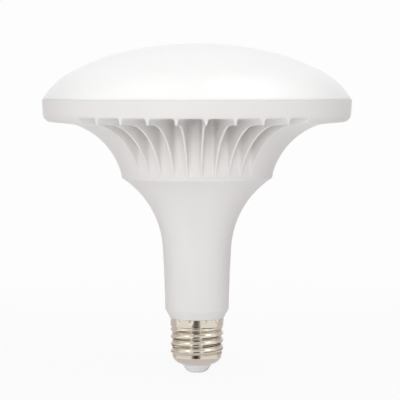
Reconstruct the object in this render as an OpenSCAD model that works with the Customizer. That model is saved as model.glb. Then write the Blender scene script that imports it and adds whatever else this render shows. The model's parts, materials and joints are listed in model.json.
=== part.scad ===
/* [Diffuser] */
// Height of the opal dome above the joint with the housing
dome_h = 27.2; // [22:0.1:34]
// Radius at which the flat crown turns into the shoulder
crown_r = 51.2; // [40:0.1:56]
// Fall of the crown from its top to that radius
crown_drop = 8.1; // [5:0.1:10]
// Wall of the dome
dome_wall = 1.6; // [1:0.1:2.4]
// Straight lip at the foot of the dome
lip_h = 0.6; // [0.3:0.1:1.5]
// Depth of the skirt that stands in the housing
skirt_h = 3.5; // [2:0.1:4.5]

/* [Housing] */
// Diameter of the housing at its rim
rim_d = 151.8; // [145:0.1:160]
// Height of the flange from the crease below it to the joint
flange_h = 12; // [11:0.1:16]
// Width of the flat underside, from the rim in to the crease above the flare
underside_w = 14.9; // [12:0.1:20]
// Height of the ribbed flare
flare_h = 26.65; // [24:0.05:32]
// How far the flare hollows in from its chord
flare_sag = 4.95; // [3:0.05:6]
// Diameter of the sharp ring between flare and trumpet
ring_d = 73.6; // [68:0.1:80]
// Height of the trumpet below the ring
trumpet_h = 34.35; // [28:0.05:42]
// How far the trumpet hollows in from its chord
trumpet_sag = 4.7; // [3:0.05:5.5]
// Diameter of the neck where the trumpet ends
neck_top_d = 33.8; // [32:0.1:38]
// Height of the neck
neck_h = 34.8; // [30:0.1:44]
// Diameter of the neck at its foot
neck_d = 31.4; // [30:0.1:33]
// Wall of the moulding
wall = 2; // [1.6:0.1:2.4]

/* [Ribs] */
// Angle between two ribs
rib_pitch = 10.25; // [8:0.05:10.3]
// Pockets side by side in the front and in the back
pocket_count = 9; // [5:2:9]
// Thickness of a rib at its foot
rib_t = 1.1; // [0.8:0.1:1.6]
// Width of a rib where it meets the pocket's ceiling
rib_top_w = 2.4; // [1.8:0.1:3.4]
// Height over which a rib widens to the pocket's ceiling
rib_top_h = 2.5; // [1:0.1:4]
// Height of the plain band between the ring and the pockets
band_h = 1.7; // [1.5:0.1:5]
// How far the pockets' back wall stands out from the ring at its foot
pocket_step = 0.3; // [0.1:0.05:1.5]
// Draft of that wall over its height
pocket_draft = 0.85; // [0.2:0.05:1.5]
// Thickness of the floor above the pockets
floor_t = 1.8; // [1.4:0.1:2.4]
// Depth of the tray that holds the light board
tray_h = 6.5; // [6:0.1:7.5]

/* [Light engine] */
// Gap between the light board's edge and the diffuser's skirt
board_gap = 4.1; // [3:0.1:7]
// Thickness of the light board
board_t = 1.6; // [1:0.1:2]
// Thickness of the aluminium heat spreader
spreader_t = 1.5; // [1:0.1:2]
// Gap between the foot of the spreader's tube and the trumpet's hollow
tube_rest = 2; // [1:0.5:12]
// Length of one light-emitting chip
chip_l = 3.5; // [2.8:0.1:5]
// Width of one light-emitting chip
chip_w = 2.8; // [1.6:0.1:3]
// Height of one light-emitting chip
chip_h = 0.7; // [0.5:0.1:1]
// Distance from the board's edge to the outer ring of chips
chip_edge = 8; // [6:0.5:9]
// Distance between two rings of chips
chip_step = 18; // [16:0.5:20]
// Distance from the outer ring of chips in to the screws
screw_inset = 10; // [8:0.5:12]
// Diameter of a screw's shank
screw_d = 2.9; // [2.5:0.1:3.5]
// Length of a screw below its head
screw_l = 9; // [7:0.5:10]

/* [Driver] */
// Length of the driver's circuit board
driver_l = 68; // [64:0.5:74]
// Thickness of the driver's circuit board
driver_t = 1.6; // [1:0.1:1.8]
// Depth of the guide rails along the board's edges
rail_depth = 2; // [1.4:0.1:2.6]
// Diameter of the large capacitor
bulk_d = 10; // [8:0.5:10.5]
// Length of the large capacitor
bulk_l = 18; // [14:0.5:20]
// Width of the transformer's core
core_w = 13; // [11:0.5:15]
// Diameter of the insulated leads
lead_d = 1.5; // [1.1:0.1:1.6]

/* [Screw cap] */
// Height of the cap from the bottom contact to the neck
cap_h = 27.2; // [26.6:0.1:29]
// Diameter over the thread's crests
thread_d = 26.4; // [26.1:0.05:26.45]
// Depth of the thread
thread_depth = 0.9; // [0.75:0.05:1]
// Rise of the thread in one turn
thread_pitch = 3.63; // [3.6:0.01:3.66]
// How far the smooth collar stands out past the crests
collar_step = 0.05; // [0:0.05:0.2]
// Height of the smooth collar
collar_h = 4.3; // [3.5:0.1:5]
// Thickness of the sheet metal
shell_wall = 0.35; // [0.25:0.05:0.45]
// Height of the rounded shoulder under the thread
shoulder_h = 4.7; // [4:0.1:5.5]
// Diameter of the shell's open lower end
mouth_d = 15.3; // [14:0.1:16.5]
// Height of the insulator that shows below the shell
insulator_h = 4.3; // [3.5:0.1:5]
// Diameter of the bottom contact
contact_d = 8; // [7:0.1:9]
// Thickness of the bottom contact
contact_t = 0.6; // [0.4:0.1:0.8]

/* [Clearances] */
// Gap round pieces that slide or drop into each other
slip = 0.2; // [0.1:0.05:0.3]
// Gap between a solder joint or a glue line and its seat
seat_gap = 0.1; // [0.05:0.05:0.2]

/* [Hidden] */
$fn = 96;
arc_steps = 10;
past = 1;

// Heights above the bottom contact
neck_top_z = cap_h + neck_h;
ring_z = neck_top_z + trumpet_h;
crease_z = ring_z + flare_h;
joint_z = crease_z + flange_h;
floor_z = joint_z - tray_h;
ceiling_z = floor_z - floor_t;
spreader_top_z = floor_z + spreader_t;
board_top_z = spreader_top_z + board_t;

// Rim: the flange drafts in a little, turns under in a round corner and runs to the crease
rim_r = rim_d / 2;
rim_draft = 0.35;
corner_h = 4.2;
corner_w = 2.65;
corner_sag = 0.75;
underside_rise = 1.1;
crease_r = rim_r - underside_w;
tray_r = rim_r - wall;
corner_top = [rim_r - rim_draft, crease_z + underside_rise + corner_h];
corner_foot = [corner_top[0] - corner_w, crease_z + underside_rise];

// Ribs and the pockets between them
row_half = pocket_count * rib_pitch / 2;
ring_r = ring_d / 2;
pocket_r = ring_r + pocket_step;
rib_start_r = pocket_r / 2;
band_z = ring_z + band_h;
bore_r = pocket_r - wall;
rib_end_inset = 0.45;
rib_end_rise = 0.15;
rib_end_depth = 1;

// Hollows behind the plain quarters, with two stiffeners and screw bosses in each
quarter = 90;
core_half = quarter - row_half - asin((wall + rib_t / 2) / pocket_r);
core_r = tray_r - wall / 2;
boss_angles = [-20, 20, 160, 200];
boss_wall = 2;
boss_r = screw_d / 2 + boss_wall;
stiffener_t = 1.6;
pilot_depth = screw_l - spreader_t - board_t + 1;

// Foot of the neck: a chamfer and a lip against the cap's collar
neck_r = neck_d / 2;
neck_bore_r = neck_r - wall;
root_r = thread_d / 2 - thread_depth;
collar_r = thread_d / 2 + collar_step;
lip_foot_r = collar_r + 0.25;
lip_top_r = lip_foot_r + 0.5;
lip_top_z = cap_h + 1.5;
chamfer_top_z = cap_h + 4;

// Spigot that the cap is pressed onto, and the ledge above it
spigot_wall = 1.75;
shoulder_top_z = insulator_h + shoulder_h;
insulator_top_z = shoulder_top_z + 1.5;
lead_room = 5;
spigot_z = insulator_top_z + lead_room;
spigot_r = root_r - shell_wall - 2 * slip;
spigot_bore_r = spigot_r - spigot_wall;
spigot_collar_r = collar_r - shell_wall - seat_gap;
collar_foot_z = cap_h - collar_h;
ledge_z = cap_h + 2.8;

// Light board: rings of chips from the edge inwards, and the screws between two rings
skirt_r = tray_r - slip;
skirt_in_r = skirt_r - dome_wall;
board_r = skirt_in_r - board_gap;
chip_counts = [28, 20, 12];
screw_r = board_r - chip_edge - screw_inset;
screw_head_r = screw_d * 0.95;
screw_head_h = 2;
terminal_size = [9, 7, 4];
terminal_round = 0.8;
lead_spacing = 4;

// Driver board, standing on the ledge between its rails
driver_z = ledge_z + seat_gap;
driver_side_gap = 0.7;
driver_w = 2 * (min(neck_bore_r, neck_top_d / 2 - wall) - driver_side_gap);
driver_top_z = driver_z + driver_l;
driver_face = driver_t / 2 + seat_gap;
rail_w = 1.2;
rail_top_z = neck_top_z - 4;

// Driver's pieces: each one's own sizes, then how high it stands above the board's foot
leg_w = 0.5;
leg_t = 0.25;
leg_out = 0.9;
leg_drop = 1.6;
piece_gap = 2;
output_size = [8, 12];
film_size = [11, 8, 5.5];
film_round = 0.8;
varistor_r = 3.4;
varistor_t = 3.2;
varistor_edge = 0.8;
fuse_size = [3.6, 10];
fuse_end = 2;
fuse_waist_r = 1.5;
bridge_size = [6.5, 4.7, 2.4];
chip_size = [4.9, 3.9, 1.5];
chip_leg_step = 1.27;
package_round = 0.2;
choke_r = 4.4;
choke_h = 8;
choke_flange = 1.2;
choke_waist_r = 2;
core_h = 12;
core_t = 5;
core_leg = 2;
core_mid = 3.6;
core_window_h = core_h - 2 * core_leg;
core_window_w = (core_w - core_mid) / 2 - core_leg;
coil_build = 2.6;
coil_round = 1.2;
bulk_up = leg_drop + piece_gap;
choke_up = bulk_up + bulk_l + piece_gap + choke_r;
transformer_up = choke_up + choke_r + piece_gap + core_h / 2;
output_up = transformer_up + core_h / 2 + piece_gap + output_size[0] / 2;
fuse_up = piece_gap + fuse_size[0] / 2;
film_up = fuse_up + fuse_size[0] / 2 + piece_gap + film_size[1] / 2;
varistor_up = film_up + film_size[1] / 2 + piece_gap;
bridge_up = varistor_up + varistor_t + piece_gap + bridge_size[1] / 2 + leg_out;
chip_up = bridge_up + (bridge_size[1] + chip_size[1]) / 2 + 2 * leg_out + piece_gap;

// Leads
wire_sides = 10;
wire_steps = 12;
lead_x = 5;
lead_gap = 0.4;
neutral_run_r = spigot_bore_r - lead_d / 2 - lead_gap;
neutral_end_r = root_r - shell_wall - seat_gap;
neutral_end_z = spigot_z - lead_d / 2 - lead_gap;

// Thread
turn_steps = 36;
row_h = 0.46;
crest_z = shoulder_top_z + 3.35;
fade_h = 1.2;
shoulder_steps = 5;
shoulder_sag = 0.75;
thread_rows = ceil((collar_foot_z - shoulder_top_z) / row_h);

// Bottom contact and the insulator round its pin
contact_proud = 0.3;
pin_r = 1.5;
pin_top_z = insulator_top_z + 1;
insulator_edge_r = contact_d / 2 + 0.5;
insulator_foot_r = contact_d / 2 + 1;
insulator_foot_z = contact_proud + 0.45;

// Turn from one angle to another, the short way round
function short_turn(a) = a > 180 ? a - 360 : a < -180 ? a + 360 : a;

// Points on the arc about c from p towards q, moved away from c by off
function arc_about(c, p, q, off = 0, steps = arc_steps) =
    let (r = norm(p - c) + off,
         from = atan2(p[1] - c[1], p[0] - c[0]),
         turn = short_turn(atan2(q[1] - c[1], q[0] - c[0]) - from))
    [for (i = [0 : steps]) c + r * [cos(from + turn * i / steps), sin(from + turn * i / steps)]];

// Centre of the arc from p to q whose middle lies sag to the left of the chord
function arc_centre(p, q, sag) =
    let (half = norm(q - p) / 2,
         along = (q - p) / norm(q - p),
         left = [-along[1], along[0]],
         radius = (half * half + sag * sag) / (2 * abs(sag)))
    (p + q) / 2 + left * (sag - sign(sag) * radius);

// Centre of the arc that leaves p square to the unit vector n and ends at q
function tangent_centre(p, n, q) = p + n * ((q - p) * (q - p)) / (2 * (n * (q - p)));

// Unit vector from a to b
function heading(a, b) = (b - a) / norm(b - a);

// Height at radius r of the upper half of the circle about c
function height_at(c, radius, r) = c[1] + sqrt(pow(radius, 2) - pow(r - c[0], 2));

// Dome: a crown centred on the axis, then a shoulder that leaves it without a kink
crown_top = [0, joint_z + dome_h];
crown_end = [crown_r, joint_z + dome_h - crown_drop];
crown_centre = crown_top
             - [0, (crown_r * crown_r + crown_drop * crown_drop) / (2 * crown_drop)];
dome_foot = [rim_r - 0.6, joint_z + lip_h];
dome_shoulder = tangent_centre(crown_end, heading(crown_end, crown_centre), dome_foot);
dome_in_r = norm(crown_end - dome_shoulder) - dome_wall;
skirt_top = [skirt_in_r, height_at(dome_shoulder, dome_in_r, skirt_in_r)];

// Flare, trumpet and neck: two hollow arcs and a third that leaves the trumpet without a kink
ring_point = [ring_r, ring_z];
crease_point = [crease_r, crease_z];
neck_top = [neck_top_d / 2, neck_top_z];
neck_foot = [neck_r, chamfer_top_z];
flare_centre = arc_centre(crease_point, ring_point, -flare_sag);
flare_in_r = norm(ring_point - flare_centre) + wall;
core_foot = [pocket_r, height_at(flare_centre, flare_in_r, pocket_r)];
trumpet_centre = arc_centre(ring_point, neck_top, -trumpet_sag);
trumpet_in_r = norm(neck_top - trumpet_centre) + wall;
trumpet_in_foot = neck_top + heading(trumpet_centre, neck_top) * wall;
bore_foot = [bore_r, height_at(trumpet_centre, trumpet_in_r, bore_r)];
neck_centre = tangent_centre(neck_top, heading(neck_top, trumpet_centre), neck_foot);
spreader_r = skirt_r;
tube_r = bore_r - slip;
tube_foot_z = bore_foot[1] + tube_rest;

// Shoulder of the screw shell
shoulder_top = [root_r, shoulder_top_z];
mouth = [mouth_d / 2, insulator_h];
shoulder_centre = arc_centre(shoulder_top, mouth, shoulder_sag);

// Block of size [x, y, z] standing on z = 0, with its upright edges rounded
module rounded_block(size, round) {
    linear_extrude(size[2])
        union() {
            square([size[0] - 2 * round, size[1]], center = true);
            square([size[0], size[1] - 2 * round], center = true);
            for (x = [-1, 1], y = [-1, 1])
                translate([x * (size[0] / 2 - round), y * (size[1] / 2 - round)])
                    circle(round, $fn = 24);
        }
}

// Places its children on the driver board: side 1 is its front, -1 its back, up is outwards
module on_driver(side, x, height) {
    translate([x, side * driver_face, driver_z + height])
        rotate([side * -90, 0, 0])
            children();
}

// Opal dome, with the skirt that stands in the housing's tray
module diffuser() {
    color("white")
        rotate_extrude()
            polygon(concat(
                arc_about(crown_centre, crown_top, crown_end),
                arc_about(dome_shoulder, crown_end, dome_foot),
                [[dome_foot[0], joint_z], [skirt_r, joint_z], [skirt_r, joint_z - skirt_h],
                 [skirt_in_r, joint_z - skirt_h]],
                arc_about(dome_shoulder, skirt_top, crown_end),
                arc_about(crown_centre, crown_end, crown_top, -dome_wall)));
}

// Outside of the moulding, from the rim down to the spigot
module housing_outline() {
    polygon(concat(
        [[0, joint_z], [rim_r, joint_z]],
        arc_about(arc_centre(corner_top, corner_foot, corner_sag), corner_top, corner_foot),
        arc_about(flare_centre, crease_point, ring_point),
        arc_about(trumpet_centre, ring_point, neck_top),
        arc_about(neck_centre, neck_top, neck_foot),
        [[lip_top_r, lip_top_z], [lip_foot_r, cap_h], [spigot_collar_r, cap_h],
         [spigot_collar_r, collar_foot_z + 3 * slip], [spigot_r, collar_foot_z + 2 * slip],
         [spigot_r, spigot_z], [0, spigot_z]]));
}

// Hollow of the moulding: spigot, neck, trumpet, the tube's bore and the tray
module housing_hollow() {
    polygon(concat(
        [[0, spigot_z - past], [spigot_bore_r, spigot_z - past], [spigot_bore_r, ledge_z],
         [neck_bore_r, ledge_z], [neck_bore_r, chamfer_top_z]],
        arc_about(trumpet_centre, trumpet_in_foot, bore_foot),
        [[bore_r, floor_z], [tray_r, floor_z], [tray_r, joint_z + past], [0, joint_z + past]]));
}

// The two pairs of rails that guide the driver board
module rails() {
    for (x = [-1, 1], y = [-1, 1])
        translate([x > 0 ? neck_bore_r - rail_depth : -2 * neck_r,
                   y > 0 ? driver_t / 2 + slip : -driver_t / 2 - slip - rail_w, spigot_z])
            cube([2 * neck_r - neck_bore_r + rail_depth, rail_w, rail_top_z - spigot_z]);
}

// Fills the flange's round corner along one row, centred on -Y, so that its ribs end square
module square_corner() {
    inner_r = corner_foot[0] - rib_end_depth;
    outer_r = corner_top[0] - rib_end_inset;
    foot_z = corner_foot[1] + rib_end_rise;
    top_z = ceiling_z + past / 2;
    rotate([0, 0, -90 - row_half + rib_pitch / 2])
        rotate_extrude(angle = 2 * row_half - rib_pitch)
            polygon([[inner_r, foot_z], [outer_r, foot_z], [outer_r, top_z], [inner_r, top_z]]);
}

// Section of a rib, widening as it meets the pocket's ceiling
module rib_section() {
    far_w = rib_t + (rib_top_w - rib_t) * (rib_top_h + past) / rib_top_h;
    polygon([[-rib_t / 2, band_z - past], [rib_t / 2, band_z - past],
             [rib_t / 2, ceiling_z - rib_top_h], [far_w / 2, ceiling_z + past],
             [-far_w / 2, ceiling_z + past], [-rib_t / 2, ceiling_z - rib_top_h]]);
}

// One quarter of open pockets, centred on -Y, with its ribs left standing
module pocket_row() {
    difference() {
        rotate([0, 0, -90 - row_half])
            rotate_extrude(angle = 2 * row_half)
                polygon([[pocket_r, band_z], [rim_r + past, band_z], [rim_r + past, ceiling_z],
                         [pocket_r + pocket_draft, ceiling_z]]);
        for (i = [0 : pocket_count])
            rotate([0, 0, (i - pocket_count / 2) * rib_pitch])
                translate([0, -rib_start_r, 0])
                    rotate([90, 0, 0])
                        linear_extrude(rim_r)
                            rib_section();
    }
}

// Hollow behind one plain quarter, centred on +X, open to the tray
module quarter_core() {
    difference() {
        rotate([0, 0, -core_half])
            rotate_extrude(angle = 2 * core_half)
                polygon(concat(
                    [[pocket_r, floor_z + past]],
                    arc_about(flare_centre, core_foot, crease_point),
                    [[core_r, crease_z + underside_rise + wall], [core_r, floor_z + past]]));
        for (a = [boss_angles[0], boss_angles[1]])
            rotate([0, 0, a]) {
                translate([0, -stiffener_t / 2, ring_z])
                    cube([rim_r, stiffener_t, floor_z - ring_z]);
                translate([screw_r, 0, ring_z])
                    cylinder(h = floor_z - ring_z, r = boss_r);
            }
    }
}

// One moulding: flange, ribbed flare, trumpet, neck and spigot
module housing() {
    color("whitesmoke")
        difference() {
            union() {
                rotate_extrude()
                    housing_outline();
                for (turn = [0, 180])
                    rotate([0, 0, turn])
                        square_corner();
            }
            difference() {
                rotate_extrude()
                    housing_hollow();
                rails();
            }
            for (turn = [0, 180])
                rotate([0, 0, turn]) {
                    pocket_row();
                    quarter_core();
                }
            for (a = boss_angles)
                rotate([0, 0, a])
                    translate([screw_r, 0, floor_z - pilot_depth])
                        cylinder(h = pilot_depth + past, d = screw_d + seat_gap, $fn = 32);
        }
}

// Holes for the board's screws, through the sheet between two heights
module screw_holes(from_z, to_z) {
    for (a = boss_angles)
        rotate([0, 0, a])
            translate([screw_r, 0, from_z - past])
                cylinder(h = to_z - from_z + 2 * past, d = screw_d + 2 * slip, $fn = 32);
}

// Drawn aluminium: a flat ring on the tray's floor and a tube in the bore
module heat_spreader() {
    color("silver")
        difference() {
            rotate_extrude()
                polygon([[tube_r - spreader_t, tube_foot_z], [tube_r, tube_foot_z],
                         [tube_r, floor_z], [spreader_r, floor_z], [spreader_r, spreader_top_z],
                         [tube_r - spreader_t, spreader_top_z]]);
            screw_holes(floor_z, spreader_top_z);
        }
}

// Round aluminium circuit board, with holes for the screws and the two output leads
module led_board() {
    color("ghostwhite")
        difference() {
            translate([0, 0, spreader_top_z])
                cylinder(h = board_t, r = board_r);
            screw_holes(spreader_top_z, board_top_z);
            for (x = [-1, 1])
                translate([x * lead_spacing / 2, 0, spreader_top_z - past])
                    cylinder(h = board_t + 2 * past, d = lead_d + 2 * slip, $fn = 32);
        }
}

// Light-emitting chips in three rings
module led_chips() {
    color("khaki")
        for (n = [0 : len(chip_counts) - 1], i = [0 : chip_counts[n] - 1])
            rotate([0, 0, 360 * (i + 0.5) / chip_counts[n]])
                translate([board_r - chip_edge - n * chip_step - chip_w / 2, -chip_l / 2,
                           board_top_z])
                    cube([chip_w, chip_l, chip_h]);
}

// Screws that hold board and spreader to the housing's bosses
module board_screws() {
    color("gray")
        for (a = boss_angles)
            rotate([0, 0, a])
                translate([screw_r, 0, board_top_z])
                    union() {
                        cylinder(h = screw_head_h, r1 = screw_head_r, r2 = screw_head_r * 0.8,
                                 $fn = 32);
                        translate([0, 0, -screw_l])
                            cylinder(h = screw_l + screw_head_h / 2, d = screw_d, $fn = 32);
                    }
}

// Terminal that joins the output leads to the light board
module led_terminal() {
    color("ivory")
        translate([0, 0, board_top_z])
            rounded_block(terminal_size, terminal_round);
}

// Driver's circuit board
module driver_board() {
    color("seagreen")
        translate([-driver_w / 2, -driver_t / 2, driver_z])
            cube([driver_w, driver_t, driver_l]);
}

// Aluminium can with a crimped groove near its foot
module capacitor_can(d, l) {
    groove_z = 2;
    groove_r = 0.8;
    bevel = 0.5;
    difference() {
        rotate_extrude()
            polygon([[0, 0], [d / 2 - bevel, 0], [d / 2, bevel], [d / 2, l - bevel],
                     [d / 2 - bevel, l], [0, l]]);
        translate([0, 0, groove_z])
            rotate_extrude()
                translate([d / 2 + groove_r / 2, 0])
                    circle(groove_r, $fn = 24);
    }
}

// Large capacitor, lying along the board with its two legs bent onto it
module bulk_capacitor() {
    color("steelblue")
        translate([0, driver_face + bulk_d / 2, driver_z + bulk_up])
            union() {
                capacitor_can(bulk_d, bulk_l);
                for (x = [-1, 1])
                    translate([x * bulk_d / 4 - leg_w / 2, 0, -leg_drop]) {
                        translate([0, -leg_w / 2, 0])
                            cube([leg_w, leg_w, leg_drop + leg_w]);
                        translate([0, -bulk_d / 2 - seat_gap, 0])
                            cube([leg_w, bulk_d / 2 + seat_gap, leg_w]);
                    }
            }
}

// Output capacitor, upright on the board
module output_capacitor() {
    color("midnightblue")
        on_driver(1, 0, output_up)
            capacitor_can(output_size[0], output_size[1]);
}

// Moulded film capacitor
module film_capacitor() {
    color("goldenrod")
        on_driver(-1, 0, film_up)
            rounded_block(film_size, film_round);
}

// Disc varistor, on edge
module varistor() {
    color("royalblue")
        translate([0, -driver_face - varistor_r, driver_z + varistor_up])
            rotate_extrude()
                polygon([[0, 0], [varistor_r - varistor_edge, 0], [varistor_r, varistor_edge],
                         [varistor_r, varistor_t - varistor_edge],
                         [varistor_r - varistor_edge, varistor_t], [0, varistor_t]]);
}

// Fusible resistor: a barrel with thicker ends, across the board's foot
module fuse_resistor() {
    end_r = fuse_size[0] / 2;
    barrel_l = fuse_size[1];
    color("darkseagreen")
        translate([-barrel_l / 2, -driver_face - end_r, driver_z + fuse_up])
            rotate([0, 90, 0])
                rotate_extrude($fn = 32)
                    polygon([[0, 0], [end_r, 0], [end_r, fuse_end],
                             [fuse_waist_r, fuse_end + leg_w],
                             [fuse_waist_r, barrel_l - fuse_end - leg_w],
                             [end_r, barrel_l - fuse_end], [end_r, barrel_l], [0, barrel_l]]);
}

// Flat package with a row of legs along two sides
module legged_package(size, legs, spacing) {
    union() {
        rounded_block(size, package_round);
        for (side = [-1, 1], i = [0 : legs - 1])
            translate([(i - (legs - 1) / 2) * spacing - leg_w / 2,
                       side > 0 ? size[1] / 2 - leg_t : -size[1] / 2 - leg_out, 0])
                cube([leg_w, leg_out + leg_t, leg_t]);
    }
}

// Bridge rectifier, on two pairs of legs
module bridge_rectifier() {
    color("dimgray")
        on_driver(-1, 0, bridge_up)
            legged_package(bridge_size, 2, bridge_size[0] * 0.6);
}

// Switching chip of the driver, on two rows of four legs
module driver_chip() {
    color("black")
        on_driver(-1, 0, chip_up)
            legged_package(chip_size, 4, chip_leg_step);
}

// Drum core of the input choke
module choke_core() {
    color("dimgray")
        on_driver(1, 0, choke_up)
            rotate_extrude($fn = 48)
                polygon([[0, 0], [choke_r, 0], [choke_r, choke_flange],
                         [choke_waist_r, choke_flange], [choke_waist_r, choke_h - choke_flange],
                         [choke_r, choke_h - choke_flange], [choke_r, choke_h], [0, choke_h]]);
}

// Wire wound in the drum's waist
module choke_winding() {
    color("chocolate")
        on_driver(1, 0, choke_up)
            rotate_extrude($fn = 48)
                translate([choke_waist_r + seat_gap, choke_flange + seat_gap])
                    square([choke_r - choke_waist_r - leg_w,
                            choke_h - 2 * choke_flange - 2 * seat_gap]);
}

// Places its children at the middle of the transformer
module at_transformer() {
    translate([0, driver_face + core_t / 2 + coil_build, driver_z + transformer_up])
        children();
}

// Ferrite core: a frame with a middle leg
module transformer_core() {
    color("dimgray")
        at_transformer()
            difference() {
                cube([core_w, core_t, core_h], center = true);
                for (x = [-1, 1])
                    translate([x * (core_mid + core_window_w) / 2, 0, 0])
                        cube([core_window_w, core_t + 2 * past, core_window_h], center = true);
            }
}

// Wound bobbin round the middle leg, through both windows
module transformer_winding() {
    coil_h = core_window_h - 2 * seat_gap;
    color("gold")
        at_transformer()
            translate([0, 0, -coil_h / 2])
                difference() {
                    rounded_block([core_w - 2 * core_leg - 2 * seat_gap, core_t + 2 * coil_build,
                                   coil_h], coil_round);
                    translate([0, 0, coil_h / 2])
                        cube([core_mid + 2 * seat_gap, core_t + 2 * seat_gap, coil_h + 2 * past],
                             center = true);
                }
}

// Output lead from the driver board's top edge to the terminal
module output_lead(x) {
    translate([x, 0, driver_top_z])
        cylinder(h = board_top_z - driver_top_z, d = lead_d, $fn = 32);
}

module positive_lead() {
    color("red")
        output_lead(lead_spacing / 2);
}

module negative_lead() {
    color("black")
        output_lead(-lead_spacing / 2);
}

// Tube along a path in the plane y = 0: a ring of points square to the path at each stop
function path_ring(p, along) =
    [for (k = [0 : wire_sides - 1])
        let (a = 360 * k / wire_sides)
        [p[0] - along[1] * cos(a) * lead_d / 2, sin(a) * lead_d / 2,
         p[1] + along[0] * cos(a) * lead_d / 2]];

module wire(path) {
    last = len(path) - 1;
    rings = [for (i = [0 : last]) path_ring(path[i], heading(path[max(i - 1, 0)],
                                                             path[min(i + 1, last)]))];
    polyhedron(
        points = [for (ring = rings) each ring],
        faces = concat(
            [[for (k = [0 : wire_sides - 1]) k]],
            [for (i = [0 : last - 1], k = [0 : wire_sides - 1])
                let (a = i * wire_sides + k, b = i * wire_sides + (k + 1) % wire_sides)
                [a, a + wire_sides, b + wire_sides, b]],
            [[for (k = [wire_sides - 1 : -1 : 0]) last * wire_sides + k]]));
}

// Path that leaves p straight down, shifts sideways and arrives at q straight down
function swerve(p, q) =
    [for (i = [0 : wire_steps])
        let (t = i / wire_steps)
        [p[0] + (q[0] - p[0]) * (1 - cos(180 * t)) / 2, p[1] + (q[1] - p[1]) * t]];

module live_lead() {
    color("saddlebrown")
        wire(swerve([-lead_x, driver_z - seat_gap], [0, pin_top_z + seat_gap]));
}

module neutral_lead() {
    bend = [neutral_run_r + lead_d, neutral_end_z + lead_d];
    color("steelblue")
        wire(concat(swerve([lead_x, driver_z - seat_gap], [neutral_run_r, bend[1]]),
                    [for (a = [195 : 15 : 270]) bend + lead_d * [cos(a), sin(a)]],
                    [[neutral_end_r, neutral_end_z]]));
}

// Share of the way from low to high, held between 0 and 1
function share(low, high, v) = min(max((v - low) / (high - low), 0), 1);

// Outer radius of the threaded sheet at height z and angle a: a rounded right-hand helix
function thread_radius(z, a) =
    let (wave = 0.5 + 0.5 * cos(360 * (z - crest_z) / thread_pitch - a),
         top = share(collar_foot_z, collar_foot_z - fade_h, z),
         foot = share(shoulder_top_z, shoulder_top_z + fade_h, z))
    root_r + thread_depth * foot * (wave * top + (1 - top) / 2);

function round_ring(r, z) =
    [for (k = [0 : turn_steps - 1]) let (a = 360 * k / turn_steps) [r * cos(a), r * sin(a), z]];

function thread_ring(z, inset) =
    [for (k = [0 : turn_steps - 1])
        let (a = 360 * k / turn_steps, r = thread_radius(z, a) - inset)
        [r * cos(a), r * sin(a), z]];

// Rings of one face of the shell, from its top edge down to its mouth
function shell_face(inset) =
    let (shoulder = arc_about(shoulder_centre, shoulder_top, mouth, -inset, shoulder_steps))
    concat([round_ring(collar_r - inset, cap_h),
            round_ring(collar_r - inset, collar_foot_z + 2 * slip)],
           [for (i = [0 : thread_rows])
               thread_ring(collar_foot_z - i * (collar_foot_z - shoulder_top_z) / thread_rows,
                           inset)],
           [for (i = [1 : shoulder_steps]) round_ring(shoulder[i][0], shoulder[i][1])]);

// Screw shell: one pressed sheet, with its thread as a true helix
module screw_shell() {
    outer = shell_face(0);
    inner = shell_face(shell_wall);
    rings = concat(outer, [for (i = [len(inner) - 1 : -1 : 0]) inner[i]]);
    count = len(rings);
    color("tan")
        polyhedron(
            points = [for (ring = rings) each ring],
            faces = [for (i = [0 : count - 1], k = [0 : turn_steps - 1], half = [0, 1])
                let (next_i = (i + 1) % count,
                     next_k = (k + 1) % turn_steps,
                     a = i * turn_steps + k,
                     b = i * turn_steps + next_k,
                     c = next_i * turn_steps + next_k,
                     d = next_i * turn_steps + k)
                half == 0 ? [a, b, c] : [a, c, d]]);
}

// Insulator that fills the shell's foot and stands out below it
module cap_insulator() {
    color("lavender")
        rotate_extrude()
            polygon(concat(
                [[pin_r + seat_gap, contact_t], [contact_d / 2 + seat_gap, contact_t],
                 [contact_d / 2 + seat_gap, contact_proud], [insulator_edge_r, contact_proud],
                 [insulator_foot_r, insulator_foot_z], [mouth[0] - 2 * slip, mouth[1]]],
                arc_about(shoulder_centre, mouth, shoulder_top, -shell_wall - slip,
                          shoulder_steps),
                [[shoulder_top[0] - shell_wall - slip, insulator_top_z],
                 [pin_r + seat_gap, insulator_top_z]]));
}

// Bottom contact: a disc with a pin through the insulator
module base_contact() {
    color("tan")
        union() {
            cylinder(h = contact_t, d = contact_d);
            cylinder(h = pin_top_z, r = pin_r, $fn = 32);
        }
}

diffuser();
housing();
heat_spreader();
led_board();
led_chips();
board_screws();
led_terminal();
driver_board();
bulk_capacitor();
output_capacitor();
film_capacitor();
varistor();
fuse_resistor();
bridge_rectifier();
driver_chip();
choke_core();
choke_winding();
transformer_core();
transformer_winding();
positive_lead();
negative_lead();
live_lead();
neutral_lead();
screw_shell();
cap_insulator();
base_contact();
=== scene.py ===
# %% [markdown]
# # A wide LED lamp with an opal dome
# The real lamp is one white moulding that carries everything. An opal dome is glued into its rim,
# and a screw cap is crimped onto its foot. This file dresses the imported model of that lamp: the
# pieces that show are made again as fine surfaces, and the pieces inside keep the model's own
# shapes and get a finish. All sizes are in millimetres until the last moment, because that is how
# such a lamp is drawn.

import json
import math

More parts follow.
